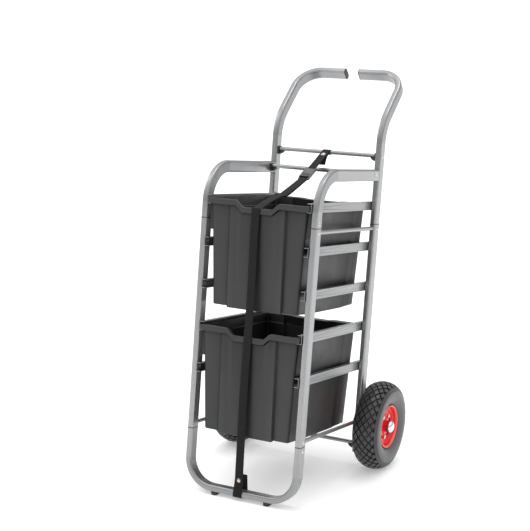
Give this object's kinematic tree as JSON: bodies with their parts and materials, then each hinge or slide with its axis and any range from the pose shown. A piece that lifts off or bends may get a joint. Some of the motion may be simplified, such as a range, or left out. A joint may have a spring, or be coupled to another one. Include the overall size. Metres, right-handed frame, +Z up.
{
  "type": "tray trolley",
  "caption": "Leaning tubular hand trolley on two pneumatic wheels: deep trays slide in runners under a split push handle, held by a buckled webbing strap.",
  "frame": {"origin": "middle of the bounding box, on the ground plane under the feet and wheels", "axes": "+X to the trolley's right-hand side (its own side frames are at -X and +X), +Y from the open front to the handle, +Z up"},
  "size_m": [0.5602, 0.7356, 1.1392],
  "materials": {
    "bearing_steel": "ground steel",
    "black_plastic": "moulded",
    "buckle_plastic": "satin moulded",
    "foot_rubber": "matt",
    "frame_paint": "satin silver-grey powder coat",
    "hub_chrome": "bright dome",
    "inner_tube_rubber": "matt black",
    "rim_paint": "gloss red",
    "sleeve_steel": "plain steel",
    "stud_metal": "bright plated",
    "tray_plastic": "satin moulded",
    "tyre_rubber": "black, block tread, smooth sidewall",
    "webbing": "woven webbing",
    "zinc_steel": "zinc plated"
  },
  "bodies": {
    "frame": {"axle_spacers": "zinc_steel", "base_hoop": "frame_paint", "crossbar_screws": "zinc_steel", "crossbar_sockets": "black_plastic", "handle_crossbar": "frame_paint", "hub_caps": "hub_chrome", "joint_rings": "black_plastic", "joint_screws": "zinc_steel", "joint_spigots": "sleeve_steel", "left_front_post": "frame_paint", "left_handle": "frame_paint", "left_rear_post": "frame_paint", "left_runner_1": "frame_paint", "left_runner_2": "frame_paint", "left_runner_3": "frame_paint", "left_runner_4": "frame_paint", "left_runner_5": "frame_paint", "left_stub_axle": "zinc_steel", "left_top_rail": "frame_paint", "rear_crossbar": "frame_paint", "right_front_post": "frame_paint", "right_handle": "frame_paint", "right_rear_post": "frame_paint", "right_runner_1": "frame_paint", "right_runner_2": "frame_paint", "right_runner_3": "frame_paint", "right_runner_4": "frame_paint", "right_runner_5": "frame_paint", "right_stub_axle": "zinc_steel", "right_top_rail": "frame_paint", "rubber_feet": "foot_rubber", "runner_rivets": "zinc_steel", "side_rods": "frame_paint", "strap_foot_loop": "webbing", "top_crossbar": "frame_paint", "tube_end_caps": "black_plastic"},
    "left_wheel": {"left_tyre": "tyre_rubber", "left_inner_tube": "inner_tube_rubber", "left_rim_outer": "rim_paint", "left_rim_inner": "rim_paint", "left_rim_bolts": "zinc_steel", "left_bearings": "bearing_steel"},
    "right_wheel": {"right_tyre": "tyre_rubber", "right_inner_tube": "inner_tube_rubber", "right_rim_outer": "rim_paint", "right_rim_inner": "rim_paint", "right_rim_bolts": "zinc_steel", "right_bearings": "bearing_steel"},
    "upper_tray": {"upper_tray": "tray_plastic", "strap_over_tray": "webbing"},
    "lower_tray": {"lower_tray": "tray_plastic"},
    "strap_top": {"strap_top": "webbing", "buckle_frame": "buckle_plastic", "buckle_pin": "zinc_steel", "top_press_stud": "stud_metal"},
    "buckle_lever": {"buckle_lever": "buckle_plastic"},
    "strap_upper_run": {"strap_upper_run": "webbing"},
    "strap_lower_run": {"strap_lower_run": "webbing", "foot_press_stud": "stud_metal"}
  },
  "joints": [
    {"name": "left_wheel_spin", "type": "hinge", "parent": "frame", "child": "left_wheel", "pos_m": [-0.2348, 0.06612, 0.13], "axis": [1, 0, 0], "continuous": true},
    {"name": "right_wheel_spin", "type": "hinge", "parent": "frame", "child": "right_wheel", "pos_m": [0.2348, 0.06612, 0.13], "axis": [1, 0, 0], "continuous": true},
    {"name": "upper_tray_slide", "type": "slide", "parent": "frame", "child": "upper_tray", "axis": [0, -0.9901, 0.14], "range_m": [0, 0.4]},
    {"name": "lower_tray_slide", "type": "slide", "parent": "frame", "child": "lower_tray", "axis": [0, -0.9901, 0.14], "range_m": [0, 0.4]},
    {"name": "strap_top_lift", "type": "hinge", "parent": "frame", "child": "strap_top", "pos_m": [0, 0.17604, 0.90716], "axis": [-1, 0, 0], "range_deg": [0, 120]},
    {"name": "buckle_lever_turn", "type": "hinge", "parent": "strap_top", "child": "buckle_lever", "pos_m": [0, 0.06468, 0.87036], "axis": [-1, 0, 0], "range_deg": [0, 80]},
    {"name": "strap_upper_run_swing", "type": "hinge", "parent": "upper_tray", "child": "strap_upper_run", "pos_m": [0, -0.2656, 0.80157], "axis": [-1, 0, 0], "range_deg": [0, 74]},
    {"name": "strap_lower_run_swing", "type": "hinge", "parent": "strap_upper_run", "child": "strap_lower_run", "pos_m": [0, -0.33836, 0.28709], "axis": [-1, 0, 0], "range_deg": [-74, 0]}
  ],
  "couplings": [
    {"joint": "strap_upper_run_swing", "follows": "lower_tray_slide", "rad_per_m": 3.2},
    {"joint": "strap_lower_run_swing", "follows": "lower_tray_slide", "rad_per_m": -3.2}
  ]
}
